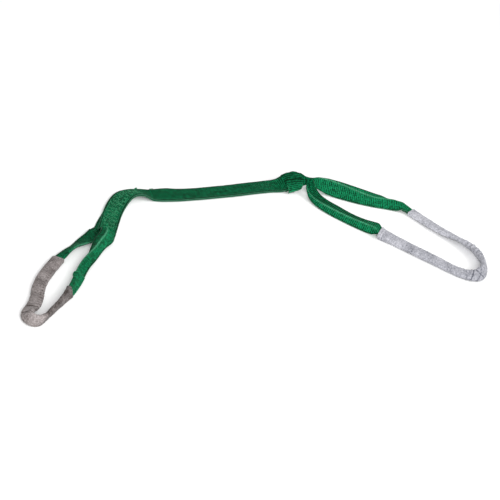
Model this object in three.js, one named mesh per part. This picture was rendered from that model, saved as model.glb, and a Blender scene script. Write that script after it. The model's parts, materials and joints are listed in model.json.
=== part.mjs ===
import * as THREE from 'three';

// Duplex flat web sling, put down on level ground with both eyes open. Millimetres, +Z up.
// The sewn two-ply body runs along X; an eye opens at each end, folded lengthwise inside a wear sleeve.
// The origin is on the ground under the middle of the whole sling.

// Webbing
const WEB_WIDTH = 50;
const WEB_THICKNESS = 3;
const PLY_GAP = 0.6;
const STACK_HALF = WEB_THICKNESS + PLY_GAP / 2;
const SELVEDGE = 3;
const SELVEDGE_HALF_THICKNESS = 0.9;
const FOLD_RADIUS = 2.8;

// Lining inside the folded eye
const LINING_THICKNESS = 0.7;
const LINING_GAP = 0.85;
const LINING_FROM = 3;
const LINING_TO = 14;
const TOUCH_GAP = 0.3;

// Wear sleeve: half sizes of its outside and of its hollow
const SLEEVE_HALF_WIDTH = 16.5;
const SLEEVE_HALF_HEIGHT = 6.5;
const SLEEVE_CORNER = 3;
const SLEEVE_WALL = 1.2;
const HEM_LENGTH = 0.16;
const HEM_GAP = 0.012;
const SEAM_BEAD_WIDTH = 1.6;
const SEAM_BEAD_HEIGHT = 0.7;

// Body seams and throat stitching
const BODY_SEAM_INSET = 6;
const THREAD_WIDTH = 1.4;
const THREAD_HEIGHT = 0.7;
const ZIGZAG_THREAD = 3;
const STITCH_LIFT = 0.6;

// Folds between the rigid lengths of the sling: the parent's end is round, the child's end is square
const FOLD_CLEARANCE = 0.7;
const FOLD_START = STACK_HALF + FOLD_CLEARANCE;
const SEAM_CLEARANCE = 9;

// Wrap of webbing round the right throat
const WRAP_THICKNESS = 1.8;
const CUT_END_REACH = 12;
const WRAP_CLEARANCE = 1.2;

const WEB_GREEN = 0x0f6b48;
const DARK_GREEN = 0x0b5238;
const THREAD_GREEN = 0x2a9166;
const LEFT_SLEEVE_GREY = 0x988882;
const RIGHT_SLEEVE_GREY = 0xc6c8d2;
const HEM_GREY = 0xb4b3b8;
const LINING_GREEN = 0x3c8f6d;

const degrees = THREE.MathUtils.degToRad;
const sling = new THREE.Group();

// Route points: x, y, clearance under the lowest edge, angle of the near flap, fold angle,
// fold position across the width, and how far the wear sleeve decides the height.
const leftEye = [
  [-313.4, 99.2, 3.6, 60, -60, -0.15, 0],
  [-327, 84, 5, 62, -64, 0.08, 0],
  [-349, 57, 9, 68, -90, 0.34, 0],
  [-383, 30, 9.5, 76, -108, 0.4, 0],
  [-417, 4, 6, 90, -124, 0.44, 0],
  [-450, -21, 1.5, 112, -140, 0.45, 0],
  [-481, -46, 0, 128, -148, 0.46, 0.1],
  [-512, -74, 0, 128, -150, 0.46, 0.3],
  [-540, -103, 0, 118, -160, 0.47, 0.6],
  [-567, -129, 0, 106, -176, 0.49, 0.9],
  [-592, -151, 0, 97, -180, 0.5, 1],
  [-625, -175, 0, 90, -180, 0.5, 1],
  [-660, -200, 0, 83, -180, 0.5, 1],
  [-700, -227, 0, 77, -180, 0.5, 1],
  [-734, -249, 0, 76, -180, 0.5, 1],
  [-755, -257, 0, 84, -180, 0.5, 1],
  [-771, -250, 0, 98, -180, 0.5, 1],
  [-774, -234, 0, 118, -180, 0.5, 1],
  [-762, -216, 0, 140, -180, 0.5, 1],
  [-741, -199, 0, 160, -180, 0.5, 1],
  [-716, -178, 0, 172, -180, 0.5, 1],
  [-689, -148, 0, 180, -180, 0.5, 1],
  [-660, -111, 0, 180, -180, 0.5, 1],
  [-627, -78, 0, 180, -180, 0.5, 1],
  [-586, -44, 0, 178, -180, 0.5, 1],
  [-540, -10, 0, 170, -180, 0.5, 1],
  [-514, 6, 0, 160, -180, 0.5, 1],
  [-486, 23, 0, 145, -180, 0.5, 0.6],
  [-458, 38, 0, 140, -180, 0.48, 0.2],
  [-430, 52, 0, 152, -180, 0.44, 0],
  [-404, 63, 0, 170, -180, 0.34, 0],
  [-378, 71, 0, 180, -180, 0.2, 0],
  [-346, 76, 0, 180, -180, 0.02, 0],
  [-327, 84, 0, 180, -180, -0.1, 0],
  [-313.4, 99.2, 0, 180, -180, -0.15, 0],
];
const leftSleeveSpan = [10, 25];
const leftTipSpan = [13, 20];

const rightEye = [
  [433.4, 219.4, 10, 45, -50, 1.15, 0],
  [448, 214, 9, 46, -50, 1.08, 0],
  [468, 207.5, 6, 50, -52, 0.95, 0],
  [492, 197, 2, 55, -52, 0.88, 0],
  [519, 180, 0, 58, -50, 0.82, 0],
  [548, 161, 0, 56, -46, 0.74, 0],
  [578, 144, 0, 54, -46, 0.64, 0],
  [611, 129, 0, 50, -50, 0.57, 0],
  [645, 116, 0, 42, -76, 0.53, 0.2],
  [672, 103, 0, 28, -125, 0.5, 0.6],
  [692, 87, 0, 12, -165, 0.5, 1],
  [703, 66, 0, 0, -180, 0.5, 1],
  [712, 32, 0, -3, -180, 0.5, 1],
  [724, -5, 0, -6, -180, 0.5, 1],
  [739, -42, 0, -12, -180, 0.5, 1],
  [754, -75, 0, -25, -180, 0.5, 1],
  [763, -108, 0, -42, -180, 0.5, 1],
  [766, -140, 0, -55, -180, 0.5, 1],
  [761, -174, 0, -60, -180, 0.5, 1],
  [746, -207, 0, -60, -180, 0.5, 1],
  [722, -235, 0, -55, -180, 0.5, 1],
  [696, -248, 0, -42, -180, 0.5, 1],
  [674, -243, 0, -24, -180, 0.5, 1],
  [655, -226, 0, -10, -180, 0.5, 1],
  [633, -196, 0, -3, -180, 0.5, 1],
  [613, -163, 0, 0, -180, 0.5, 1],
  [592, -131, 0, 0, -180, 0.5, 1],
  [571, -98, 0, 0, -180, 0.5, 1],
  [549, -61, 0, 0, -180, 0.5, 1],
  [524, -22, 0, 0, -180, 0.5, 1],
  [507, 3, 0, 2, -174, 0.5, 0.9],
  [490, 28, 0, 6, -100, 0.54, 0.2],
  [473, 60, 0, 5, -70, 0.6, 0],
  [459, 97, 0, 2, -62, 0.62, 0],
  [449, 134, 0, -2, -56, 0.64, 0],
  [446, 162, 0, -10, -48, 0.68, 0],
  [449, 182, 3, -22, -36, 0.74, 0],
  [452, 199, 9, -38, -26, 0.9, 0],
  [445, 212.5, 12, -45, -20, 1.1, 0],
  [432.6, 217, 12.5, -45, -20, 1.15, 0],
];
const rightSleeveSpan = [11, 29];
const rightTipSpan = [17, 24];

// Body route points: x, y, clearance under the lowest edge, tilt of the flat web.
const bodyRoute = [
  [-322, 89, 0, 0],
  [-310, 103, 0, 0],
  [-266, 152, 0, 0],
  [-222, 199, 0, 0],
  [-174, 238, 0, -8],
  [-137, 252, 0, -16],
  [-104, 252, 0, -14],
  [-71, 245, 0, 0],
  [-54, 240.5, 0, 4],
  [-16, 236, 0, 7],
  [28, 235, 0, 2],
  [83, 235, 0, 0],
  [166, 237, 0, 0],
  [190, 238, 0, 0],
  [214, 239, 0, 0],
  [270, 242, 0, 0],
  [318, 243, 0, 1],
  [356, 240, 1, 8],
  [378, 236.5, 5.4, 27],
  [404, 228.6, 9, 42],
  [428, 220, 10, 45],
  [440, 215.7, 10, 45],
];
const LEFT_THROAT = 1;
const CORNER_FOLD = 7;
const MIDDLE_FOLD = 13;
const RIGHT_THROAT = 20;

// One cross-section of the web as a bent line with its middle at the origin: offsets, heights and angles.
function bendSection(lean, fold, split, radius) {
  const count = 40;
  const arc = Math.max(Math.abs(degrees(fold)) * radius / WEB_WIDTH, 1e-4);
  const line = [{ a: 0, z: 0, angle: 0 }];
  const angleAt = (u) => {
    const share = THREE.MathUtils.clamp((u - split) / arc + 0.5, 0, 1);
    return degrees(lean + fold * share);
  };
  for (let i = 0; i < count; i += 1) {
    const last = line[i];
    const angle = angleAt((i + 0.5) / count);
    const step = WEB_WIDTH / count;
    line.push({ a: last.a + step * Math.cos(angle), z: last.z + step * Math.sin(angle), angle: 0 });
  }
  const middle = { a: 0, z: 0 };
  for (const point of line) {
    middle.a += point.a / line.length;
    middle.z += point.z / line.length;
  }
  line.forEach((point, i) => {
    point.a -= middle.a;
    point.z -= middle.z;
    point.angle = angleAt(i / count);
  });
  return line;
}

function sleeveSupport(tilt) {
  const across = (SLEEVE_HALF_WIDTH - SLEEVE_CORNER) * Math.abs(Math.sin(tilt));
  const upright = (SLEEVE_HALF_HEIGHT - SLEEVE_CORNER) * Math.abs(Math.cos(tilt));
  return across + upright + SLEEVE_CORNER;
}

function webSupport(line, halfThickness) {
  const lows = line.map((point) => point.z - halfThickness * Math.abs(Math.cos(point.angle)));
  return -Math.min(...lows);
}

// A route through hand-placed points. at(t) gives the frame of the cross-section at point number t.
function makeRoute(points, halfThickness, turn = 0) {
  const ends = points.map((p) => new THREE.Vector3(p[0], p[1], p[2]));
  const path = new THREE.CatmullRomCurve3(ends, false, 'catmullrom', 0.5);
  const last = points.length - 1;
  const between = (t, k) => {
    const i = THREE.MathUtils.clamp(Math.floor(t), 0, last - 1);
    return THREE.MathUtils.lerp(points[i][k], points[i + 1][k], t - i);
  };
  const at = (wanted) => {
    const t = THREE.MathUtils.clamp(wanted, 0, last);
    const place = path.getPoint(Math.min(t / last, 1));
    const heading = path.getTangent(Math.min(t / last, 1)).setZ(0).normalize();
    const side = new THREE.Vector3(-heading.y, heading.x, 0);
    const isBody = points[0].length === 4;
    const lean = between(t, 3);
    const fold = isBody ? 0 : between(t, 4);
    const split = isBody ? 2 : between(t, 5);
    const cover = isBody ? 0 : between(t, 6);
    const line = bendSection(lean, fold, split, FOLD_RADIUS);
    const tilt = degrees(lean + turn);
    const web = webSupport(line, halfThickness);
    const height = Math.max(web, THREE.MathUtils.lerp(web, sleeveSupport(tilt), cover)) + place.z;
    return { place, heading, side, line, tilt, height };
  };
  return { at };
}

// A point on the web: u across the width from 0 to 1, v out of its face, and ahead along the route.
function webPoint(frame, u, v, ahead = 0) {
  const spot = THREE.MathUtils.clamp(u, 0, 1) * (frame.line.length - 1);
  const i = Math.min(Math.floor(spot), frame.line.length - 2);
  const low = frame.line[i];
  const high = frame.line[i + 1];
  const mix = spot - i;
  const angle = THREE.MathUtils.lerp(low.angle, high.angle, mix);
  const a = THREE.MathUtils.lerp(low.a, high.a, mix) - v * Math.sin(angle);
  const z = THREE.MathUtils.lerp(low.z, high.z, mix) + v * Math.cos(angle);
  return new THREE.Vector3(
    frame.place.x + a * frame.side.x + ahead * frame.heading.x,
    frame.place.y + a * frame.side.y + ahead * frame.heading.y,
    frame.height + z,
  );
}

// A point in the sleeve's own section: p along its long side, q out of its face.
function sleevePoint(frame, p, q) {
  const a = p * Math.cos(frame.tilt) - q * Math.sin(frame.tilt);
  const z = p * Math.sin(frame.tilt) + q * Math.cos(frame.tilt);
  return new THREE.Vector3(
    frame.place.x + a * frame.side.x,
    frame.place.y + a * frame.side.y,
    frame.height + z,
  );
}

// Extrudes an outline in equal steps, then carries every vertex onto the route.
function sweep(outline, steps, carry) {
  const geometry = new THREE.ExtrudeGeometry(outline, { steps, depth: 1, bevelEnabled: false });
  const position = geometry.attributes.position;
  for (let i = 0; i < position.count; i += 1) {
    const point = carry(position.getX(i), position.getY(i), position.getZ(i));
    position.setXYZ(i, point.x, point.y, point.z);
  }
  geometry.computeVertexNormals();
  return geometry;
}

function outlineOf(points) {
  return new THREE.Shape(points.map(([x, y]) => new THREE.Vector2(x, y)));
}

// Outline of one ply: flat faces with thinner selvedges, its width in equal columns.
function plyOutline(low, high, columns) {
  const middle = (low + high) / 2;
  const half = (high - low) / 2;
  const bow = (x) => 0.12 * (1 - ((x - WEB_WIDTH / 2) / (WEB_WIDTH / 2)) ** 2) - 0.12;
  const inner = WEB_WIDTH - 2 * SELVEDGE;
  const rows = [];
  for (let i = 0; i <= columns; i += 1) {
    rows.push(SELVEDGE + (inner * i) / columns);
  }
  const under = rows.map((x) => [x, middle - half - bow(x)]);
  const over = rows.map((x) => [x, middle + half + bow(x)]).reverse();
  return outlineOf([
    [0, middle - SELVEDGE_HALF_THICKNESS],
    ...under,
    [WEB_WIDTH, middle - SELVEDGE_HALF_THICKNESS],
    [WEB_WIDTH, middle + SELVEDGE_HALF_THICKNESS],
    ...over,
    [0, middle + SELVEDGE_HALF_THICKNESS],
  ]);
}

function boxOutline(x0, x1, y0, y1) {
  return outlineOf([[x0, y0], [x1, y0], [x1, y1], [x0, y1]]);
}

function sleeveOutline(grow) {
  const w = SLEEVE_HALF_WIDTH + grow;
  const h = SLEEVE_HALF_HEIGHT + grow;
  const corner = [[w, h * 0.46], [w - 2, h * 0.95], [w * 0.45, h]];
  const left = corner.map(([x, y]) => [-x, y]).reverse();
  const top = [...corner, ...left];
  const bottom = top.map(([x, y]) => [-x, -y]);
  return [...top, ...bottom];
}

function hollowSleeve() {
  const outline = outlineOf(sleeveOutline(0));
  outline.holes.push(new THREE.Path(sleeveOutline(-SLEEVE_WALL).map(([x, y]) => new THREE.Vector2(x, y))));
  return outline;
}

function add(name, geometry, color, roughness = 0.9) {
  const material = new THREE.MeshStandardMaterial({ color, roughness, metalness: 0 });
  const mesh = new THREE.Mesh(geometry, material);
  mesh.name = name;
  sling.add(mesh);
}

const span = (from, to, share) => from + (to - from) * share;

// Body plies. The ends that meet a fold are cut square, or rounded about the fold line.
const body = makeRoute(bodyRoute, STACK_HALF);

function stopAt(index, distance) {
  const frame = body.at(index);
  let t = index;
  const step = distance > 0 ? 0.005 : -0.005;
  while (body.at(t).place.distanceTo(frame.place) < Math.abs(distance)) {
    t += step;
  }
  return t;
}

function bodyPly(name, from, to, low, high, steps, columns, noseAtStart, noseAtEnd) {
  const noseSteps = [0, 0.5, 0.87, 0.98];
  const startSteps = noseAtStart ? noseSteps.length : 0;
  const endSteps = noseAtEnd ? noseSteps.length : 0;
  const total = startSteps + steps + endSteps;
  const carry = (x, y, z) => {
    const k = Math.round(z * total);
    let t = span(from, to, (k - startSteps) / steps);
    let reach = 0;
    if (k < startSteps) {
      t = from;
      reach = -noseSteps[startSteps - 1 - k] * STACK_HALF;
    } else if (k > startSteps + steps) {
      t = to;
      reach = noseSteps[k - startSteps - steps - 1] * STACK_HALF;
    }
    const limit = Math.sqrt(STACK_HALF ** 2 - reach ** 2);
    const v = THREE.MathUtils.clamp(y, -limit, limit);
    return webPoint(body.at(t), x / WEB_WIDTH, v, reach);
  };
  add(name, sweep(plyOutline(low, high, columns), total, carry), low < 0 ? DARK_GREEN : WEB_GREEN);
}

function bodyLength(name, from, to, steps, columns, noseAtStart, noseAtEnd, seamFrom, seamTo) {
  bodyPly(`${name}_bottom_ply`, from, to, -STACK_HALF, -PLY_GAP / 2, steps, columns, noseAtStart, noseAtEnd);
  bodyPly(`${name}_top_ply`, from, to, PLY_GAP / 2, STACK_HALF, steps, columns, noseAtStart, noseAtEnd);
  const low = STACK_HALF + STITCH_LIFT;
  for (const [side, x] of [['near', BODY_SEAM_INSET], ['far', WEB_WIDTH - BODY_SEAM_INSET]]) {
    const outline = boxOutline(x - THREAD_WIDTH / 2, x + THREAD_WIDTH / 2, low, low + THREAD_HEIGHT);
    const carry = (px, py, pz) => webPoint(body.at(span(seamFrom, seamTo, pz)), px / WEB_WIDTH, py);
    add(`${name}_${side}_seam`, sweep(outline, steps, carry), THREAD_GREEN);
  }
}

// Zigzag of stitching across the top face of the body.
function zigzagStitch(name, from, to, turns) {
  const inset = BODY_SEAM_INSET + 5;
  const low = STACK_HALF + STITCH_LIFT;
  const middleAt = (k) => (k % 2 === 0 ? inset : WEB_WIDTH - inset);
  const under = [];
  const over = [];
  for (let k = 0; k <= turns; k += 1) {
    under.push([k, middleAt(k) - ZIGZAG_THREAD / 2]);
    over.unshift([k, middleAt(k) + ZIGZAG_THREAD / 2]);
  }
  const carry = (x, y, z) => {
    const frame = body.at(span(from, to, x / turns));
    return webPoint(frame, y / WEB_WIDTH, low + z * THREAD_HEIGHT);
  };
  add(name, sweep(outlineOf([...under, ...over]), 1, carry), THREAD_GREEN);
}

bodyLength(
  'left_end', LEFT_THROAT, stopAt(CORNER_FOLD, -FOLD_START), 16, 4, true, false,
  stopAt(LEFT_THROAT, SEAM_CLEARANCE), stopAt(CORNER_FOLD, -SEAM_CLEARANCE),
);
bodyLength(
  'middle_left', CORNER_FOLD, MIDDLE_FOLD, 12, 4, true, true,
  stopAt(CORNER_FOLD, SEAM_CLEARANCE), stopAt(MIDDLE_FOLD, -SEAM_CLEARANCE),
);
bodyLength(
  'middle_right', stopAt(MIDDLE_FOLD, FOLD_START), RIGHT_THROAT, 24, 6, false, true,
  stopAt(MIDDLE_FOLD, SEAM_CLEARANCE), stopAt(17, -4),
);
zigzagStitch('left_throat_stitching', stopAt(LEFT_THROAT, SEAM_CLEARANCE), 3.4, 16);
zigzagStitch('right_throat_stitching', 14.9, 16.4, 7);

// Wrap of webbing round the right throat, with its cut end standing out at the near edge.
const wrapFrom = 17.6;
const wrapTo = stopAt(RIGHT_THROAT, -SEAM_CLEARANCE);

function wrapRing(grow) {
  const w = WEB_WIDTH / 2 + WRAP_CLEARANCE + grow;
  const h = STACK_HALF + WRAP_CLEARANCE + grow;
  const quarter = [[w, h * 0.7], [w - 1.5, h * 0.95], [w * 0.4, h]];
  const left = quarter.map(([x, y]) => [-x, y]).reverse();
  const top = [...quarter, ...left];
  return [...top, ...top.map(([x, y]) => [-x, -y])];
}

const wrapOutline = outlineOf(wrapRing(WRAP_THICKNESS));
wrapOutline.holes.push(new THREE.Path(wrapRing(0).map(([x, y]) => new THREE.Vector2(x, y))));
const onWrap = (x, y, z) => sleevePoint(body.at(span(wrapFrom, wrapTo, z)), x, y);
add('right_throat_wrap', sweep(wrapOutline, 16, onWrap), WEB_GREEN);

const flapLow = STACK_HALF + WRAP_CLEARANCE + WRAP_THICKNESS + TOUCH_GAP;
const flapOutline = boxOutline(-WEB_WIDTH / 2 - CUT_END_REACH, -WEB_WIDTH / 4, flapLow, flapLow + WRAP_THICKNESS);
const onFlap = (x, y, z) => sleevePoint(body.at(span(wrapFrom + 0.15, wrapTo - 0.1, z)), x, y);
add('right_wrap_cut_end', sweep(flapOutline, 12, onFlap), WEB_GREEN);

// Cross-sections from one point number to another: one at each point, and one between where the tip bends.
function stationsBetween(from, to, [tipFrom, tipTo]) {
  const stations = [from];
  for (let t = Math.floor(from) + 0.5; t < to; t += 0.5) {
    const inTip = t > tipFrom && t < tipTo;
    if (Number.isInteger(t) || inTip) {
      stations.push(t);
    }
  }
  return [...stations.filter((t, i) => i === 0 || t > from), to];
}

// One eye: the web loop folded lengthwise, its lining, the wear sleeve, its hems and its closing seam.
function addEye(side, points, sleeveSpan, tipSpan, turn, sleeveColor) {
  const route = makeRoute(points, WEB_THICKNESS / 2, turn);
  const [from, to] = sleeveSpan;
  const run = (name, outline, place, start, end, color) => {
    const stations = stationsBetween(start, end, tipSpan);
    const steps = stations.length - 1;
    const carry = (x, y, z) => place(route.at(stations[Math.round(z * steps)]), x, y);
    add(`${side}_${name}`, sweep(outline, steps, carry), color);
  };
  const onWeb = (frame, x, y) => webPoint(frame, x / WEB_WIDTH, y);
  const web = plyOutline(-WEB_THICKNESS / 2, WEB_THICKNESS / 2, 6);
  run('eye_web', web, onWeb, 0, points.length - 1, WEB_GREEN);

  const liningTop = -WEB_THICKNESS / 2 - LINING_GAP;
  const columns = [0, 0.25, 0.5, 0.75, 1].map((share) => span(LINING_FROM, LINING_TO, share));
  const lining = outlineOf([
    ...columns.map((x) => [x, liningTop - LINING_THICKNESS]),
    ...columns.map((x) => [x, liningTop]).reverse(),
  ]);
  run('eye_lining', lining, onWeb, from, to, LINING_GREEN);

  run('wear_sleeve', hollowSleeve(), sleevePoint, from, to, sleeveColor);
  run('sleeve_first_hem', hollowSleeve(), sleevePoint, from - HEM_GAP - HEM_LENGTH, from - HEM_GAP, HEM_GREY);
  run('sleeve_second_hem', hollowSleeve(), sleevePoint, to + HEM_GAP, to + HEM_GAP + HEM_LENGTH, HEM_GREY);

  const seamX = SLEEVE_HALF_WIDTH * 0.62;
  const seamLow = SLEEVE_HALF_HEIGHT + STITCH_LIFT;
  const bead = boxOutline(seamX, seamX + SEAM_BEAD_WIDTH, seamLow, seamLow + SEAM_BEAD_HEIGHT);
  run('sleeve_seam', bead, sleevePoint, from, to, sleeveColor);
}

addEye('left', leftEye, leftSleeveSpan, leftTipSpan, -180, LEFT_SLEEVE_GREY);
addEye('right', rightEye, rightSleeveSpan, rightTipSpan, 0, RIGHT_SLEEVE_GREY);

export default sling;
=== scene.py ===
import json
import math

import bpy
import numpy as np
from mathutils import Matrix, Vector

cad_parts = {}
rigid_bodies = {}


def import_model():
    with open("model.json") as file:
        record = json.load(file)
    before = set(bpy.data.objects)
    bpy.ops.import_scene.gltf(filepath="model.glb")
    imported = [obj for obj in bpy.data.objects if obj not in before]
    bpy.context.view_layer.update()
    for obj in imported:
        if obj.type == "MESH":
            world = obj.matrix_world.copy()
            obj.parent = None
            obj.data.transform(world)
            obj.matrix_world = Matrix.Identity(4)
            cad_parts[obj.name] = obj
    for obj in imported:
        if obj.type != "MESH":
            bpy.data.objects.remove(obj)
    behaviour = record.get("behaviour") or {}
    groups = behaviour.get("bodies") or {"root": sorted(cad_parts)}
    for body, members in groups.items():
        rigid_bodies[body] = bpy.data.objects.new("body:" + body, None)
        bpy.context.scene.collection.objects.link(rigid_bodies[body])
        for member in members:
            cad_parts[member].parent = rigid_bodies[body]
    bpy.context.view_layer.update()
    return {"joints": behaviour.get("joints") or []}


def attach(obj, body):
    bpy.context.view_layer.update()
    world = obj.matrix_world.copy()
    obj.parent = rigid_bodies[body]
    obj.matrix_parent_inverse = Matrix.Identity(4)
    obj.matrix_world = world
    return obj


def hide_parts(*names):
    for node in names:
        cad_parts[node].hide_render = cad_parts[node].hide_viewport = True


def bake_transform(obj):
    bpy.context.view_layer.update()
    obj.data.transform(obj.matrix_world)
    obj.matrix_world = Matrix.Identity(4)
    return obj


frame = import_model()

# Duplex flat web sling. Sizes are in millimetres up to the last step of each mesh; scene units are metres.
MM = 0.001
WEB_WIDTH = 50.0
# Half thickness of one ply, height of a ply's middle over the body's middle, half thickness of the body
WEB_HALF = 1.5
PLY_MIDDLE = 1.8
STACK_HALF = PLY_MIDDLE + WEB_HALF
# Radius of a lengthwise fold, and the number of straight steps that a cross-section is made of
FOLD_RADIUS = 2.8
SECTION_STEPS = 160
RIB_PITCH = 5.4
RIB_DEPTH = 0.7
SLEEVE_HALF_WIDTH = 16.5
SLEEVE_HALF_HEIGHT = 6.5
SLEEVE_CORNER = 3.0
SLEEVE_WALL = 0.9
# Nothing is lower than this over the floor: outer faces, and the inner face of a sleeve
FLOOR_GAP = 0.05
SLEEVE_INNER_GAP = 0.45

# ---------------- camera
LOOK_AT = Vector((0.060, -0.038, 0.008))
CAMERA_DISTANCE = 9.3
CAMERA_ELEVATION = math.radians(28)
CAMERA_ROLL = math.radians(20)
CAMERA_FIELD = math.radians(8)
CAMERA_SENSOR = 36
CAMERA_CLIP = 100


def add_camera():
    level = math.cos(CAMERA_ELEVATION) * math.sqrt(0.5)  # the camera looks along the diagonal of x and y
    back = Vector((-level, -level, math.sin(CAMERA_ELEVATION)))
    data = bpy.data.cameras.new("camera")
    camera = bpy.data.objects.new("camera", data)
    bpy.context.scene.collection.objects.link(camera)
    camera.location = LOOK_AT + CAMERA_DISTANCE * back
    turn = back.to_track_quat("Z", "Y").to_matrix().to_4x4()
    camera.rotation_euler = (turn @ Matrix.Rotation(CAMERA_ROLL, 4, "Z")).to_euler()
    data.sensor_width = CAMERA_SENSOR
    data.angle = CAMERA_FIELD
    data.clip_end = CAMERA_CLIP
    bpy.context.scene.camera = camera


add_camera()

# ---------------- route tables
def in_sleeve(*rows):
    """Rows of an eye folded in half inside its sleeve: x, y, angle of the first flap."""
    return [(x, y, 0, angle, -180, 0.5, 1) for x, y, angle in rows]


# The CAD's routes, with the ends of the eyes by both throats moved to follow the photograph. Each row has
# x, y, clearance under the lowest edge, angle of the first flap, fold angle, fold position, sleeve's share
LEFT_EYE = [
    (-313.4, 99.2, 3.6, 14, -14, -0.05, 0), (-323.5, 81, 5, 18, -56, 0.3, 0),
    (-347, 55.5, 9, 18, -62, 0.36, 0), (-383, 30, 9.5, 34, -90, 0.42, 0), (-417, 4, 6, 64, -118, 0.45, 0),
    (-450, -21, 1.5, 98, -136, 0.45, 0), (-481, -46, 0, 128, -148, 0.46, 0.1),
    (-512, -74, 0, 128, -150, 0.46, 0.3), (-540, -103, 0, 124, -158, 0.47, 0.6),
    (-567, -129, 0, 124, -172, 0.49, 0.9),
    *in_sleeve(
        (-592, -151, 120), (-625, -175, 96), (-660, -200, 82), (-700, -227, 77), (-734, -249, 76),
        (-755, -257, 84), (-771, -250, 98), (-774, -234, 118), (-762, -216, 140), (-741, -199, 160),
        (-716, -178, 172), (-689, -148, 180), (-660, -111, 180), (-627, -78, 180), (-586, -44, 178),
        (-540, -10, 170), (-514, 6, 160),
    ),
    (-486, 23, 0, 145, -180, 0.5, 0.6), (-458, 38, 0, 140, -180, 0.48, 0.2),
    (-430, 53, 0, 152, -180, 0.4, 0), (-403, 66, 0, 170, -180, 0.36, 0),
    (-376, 77.5, 0, 180, -180, 0.28, 0), (-352, 90, 0, 180, -180, 0.13, 0),
    (-335, 100, 0, 180, -180, -0.1, 0), (-320, 105, 0, 180, -180, -0.15, 0),
]
RIGHT_EYE = [
    (433.4, 219.4, 10, 45, -50, 1.15, 0), (448, 214, 9, 46, -50, 1.08, 0),
    (468, 207.5, 6, 50, -52, 0.95, 0), (492, 197, 2, 55, -52, 0.88, 0), (519, 180, 0, 58, -50, 0.82, 0),
    (548, 161, 0, 56, -46, 0.74, 0), (578, 144, 0, 54, -46, 0.64, 0), (611, 129, 0, 50, -50, 0.57, 0),
    (645, 116, 0, 44, -64, 0.6, 0.1), (672, 103, 0, 32, -110, 0.66, 0.5), (692, 87, 0, 14, -168, 0.55, 1),
    *in_sleeve(
        (703, 66, 0), (712, 32, -3), (724, -5, -6), (739, -42, -12), (754, -75, -25), (763, -108, -42),
        (766, -140, -55), (761, -174, -60), (746, -207, -60), (722, -235, -55), (696, -248, -42),
        (674, -243, -24), (655, -226, -10), (633, -196, -5), (613, -163, -9), (592, -131, -11),
        (571, -98, -12), (549, -61, -12),
    ),
    (524, -22, 0, -12, -152, 0.5, 1), (508, 1, 0, -2, -82, 0.54, 0.4), (489, 29, 0, 7, -75, 0.56, 0.1),
    (470, 62, 0, 7, -67, 0.6, 0), (448, 101, 0, 2, -62, 0.62, 0), (433, 134, 0, -2, -56, 0.64, 0),
    (427, 160, 0, -10, -48, 0.68, 0), (427, 180, 3, -22, -36, 0.74, 0), (430, 197, 9, -38, -26, 0.9, 0),
    (436, 209, 12, -45, -20, 1.1, 0), (432.6, 217, 12.5, -45, -20, 1.15, 0),
]
# x, y, clearance under the lowest edge, tilt
BODY = [
    (-322, 89, 0, 0), (-310, 103, 0, 0), (-266, 152, 0, 0), (-222, 199, 0, 0), (-174, 238, 0, -8),
    (-137, 252, 0, -16), (-104, 252, 0, -14), (-71, 245, 0, 0), (-54, 240.5, 0, 4), (-16, 236, 0, 7),
    (28, 235, 0, 2), (83, 235, 0, 0), (166, 237, 0, 0), (190, 238, 0, 0), (214, 239, 0, 0),
    (270, 242, 0, 0), (318, 243, 0, 1), (356, 240, 1, 8), (378, 236.5, 5.4, 27), (404, 228.6, 9, 42),
    (428, 220, 10, 45), (440, 215.7, 10, 45),
]
# Row numbers of the body at both throats, and the span of each sleeve in row numbers of its eye
LEFT_THROAT, RIGHT_THROAT = 1, 20
LEFT_SLEEVE_ROWS = (10.3, 25)
RIGHT_SLEEVE_ROWS = (11, 29)
# The webbing is bunched up where the right throat is tied: row numbers, and the width that is left
BODY_BUNCHED = ([17.6, 18.6, 19.3, 20, 21], [1, 0.9, 0.74, 0.46, 0.42])
EYE_BUNCHED = (
    [0, 1, 2, 3, 4, 33, 34, 35, 36, 37, 38],
    [0.44, 0.5, 0.7, 0.92, 1, 1, 0.9, 0.76, 0.62, 0.5, 0.44],
)
# Height of the crumples where nothing of the width is left, their number across it, and their phase
CRUMPLE = 5.0
CRUMPLE_WAVES = 2.3
CRUMPLE_PHASE = 0.8
# The flap that faces away from the light is darker: row numbers, and how much darker
LEFT_SHADED = ([0, 1, 2, 5, 7], [0, 0.1, 0.24, 0.2, 0])
RIGHT_SHADED = ([30, 31, 36, 38], [0, 0.22, 0.22, 0])
# The bottom ply lies a little to the side of the top one by the left throat: row numbers and offset
THROAT_DRIFT = ([1, 1.5, 2.4], [9, 7, 0])
# The body's edges sway by this much in millimetres, fading out over SWAY_FADE rows at both ends
SWAY = 0.55
SWAY_ROWS = (1, 19.5)
SWAY_FADE = 1.5
# Millimetres that one row counts for in the sway's noise
SWAY_ROW = 30


def crumpled(left, u):
    """How far the bunched webbing is pushed out of its face, for the width that is left."""
    return CRUMPLE * (1 - left) * np.sin(np.asarray(u) * 2 * math.pi * CRUMPLE_WAVES + CRUMPLE_PHASE)


# ---------------- routes
def spline(table, t):
    """Values and slopes of a smooth curve through a table's rows, at the row numbers t."""
    p = np.array(table, float)
    p = np.vstack([2 * p[0] - p[1], p, 2 * p[-1] - p[-2]])
    i = np.clip(np.floor(t).astype(int), 0, len(table) - 2)
    w = (t - i)[:, None]
    before, low, high, after = p[i], p[i + 1], p[i + 2], p[i + 3]
    leave, arrive = (high - before) / 2, (after - low) / 2
    a = 2 * low - 2 * high + leave + arrive
    b = -3 * low + 3 * high - 2 * leave - arrive
    return ((a * w + b) * w + leave) * w + low, (3 * a * w + 2 * b) * w + leave


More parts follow.
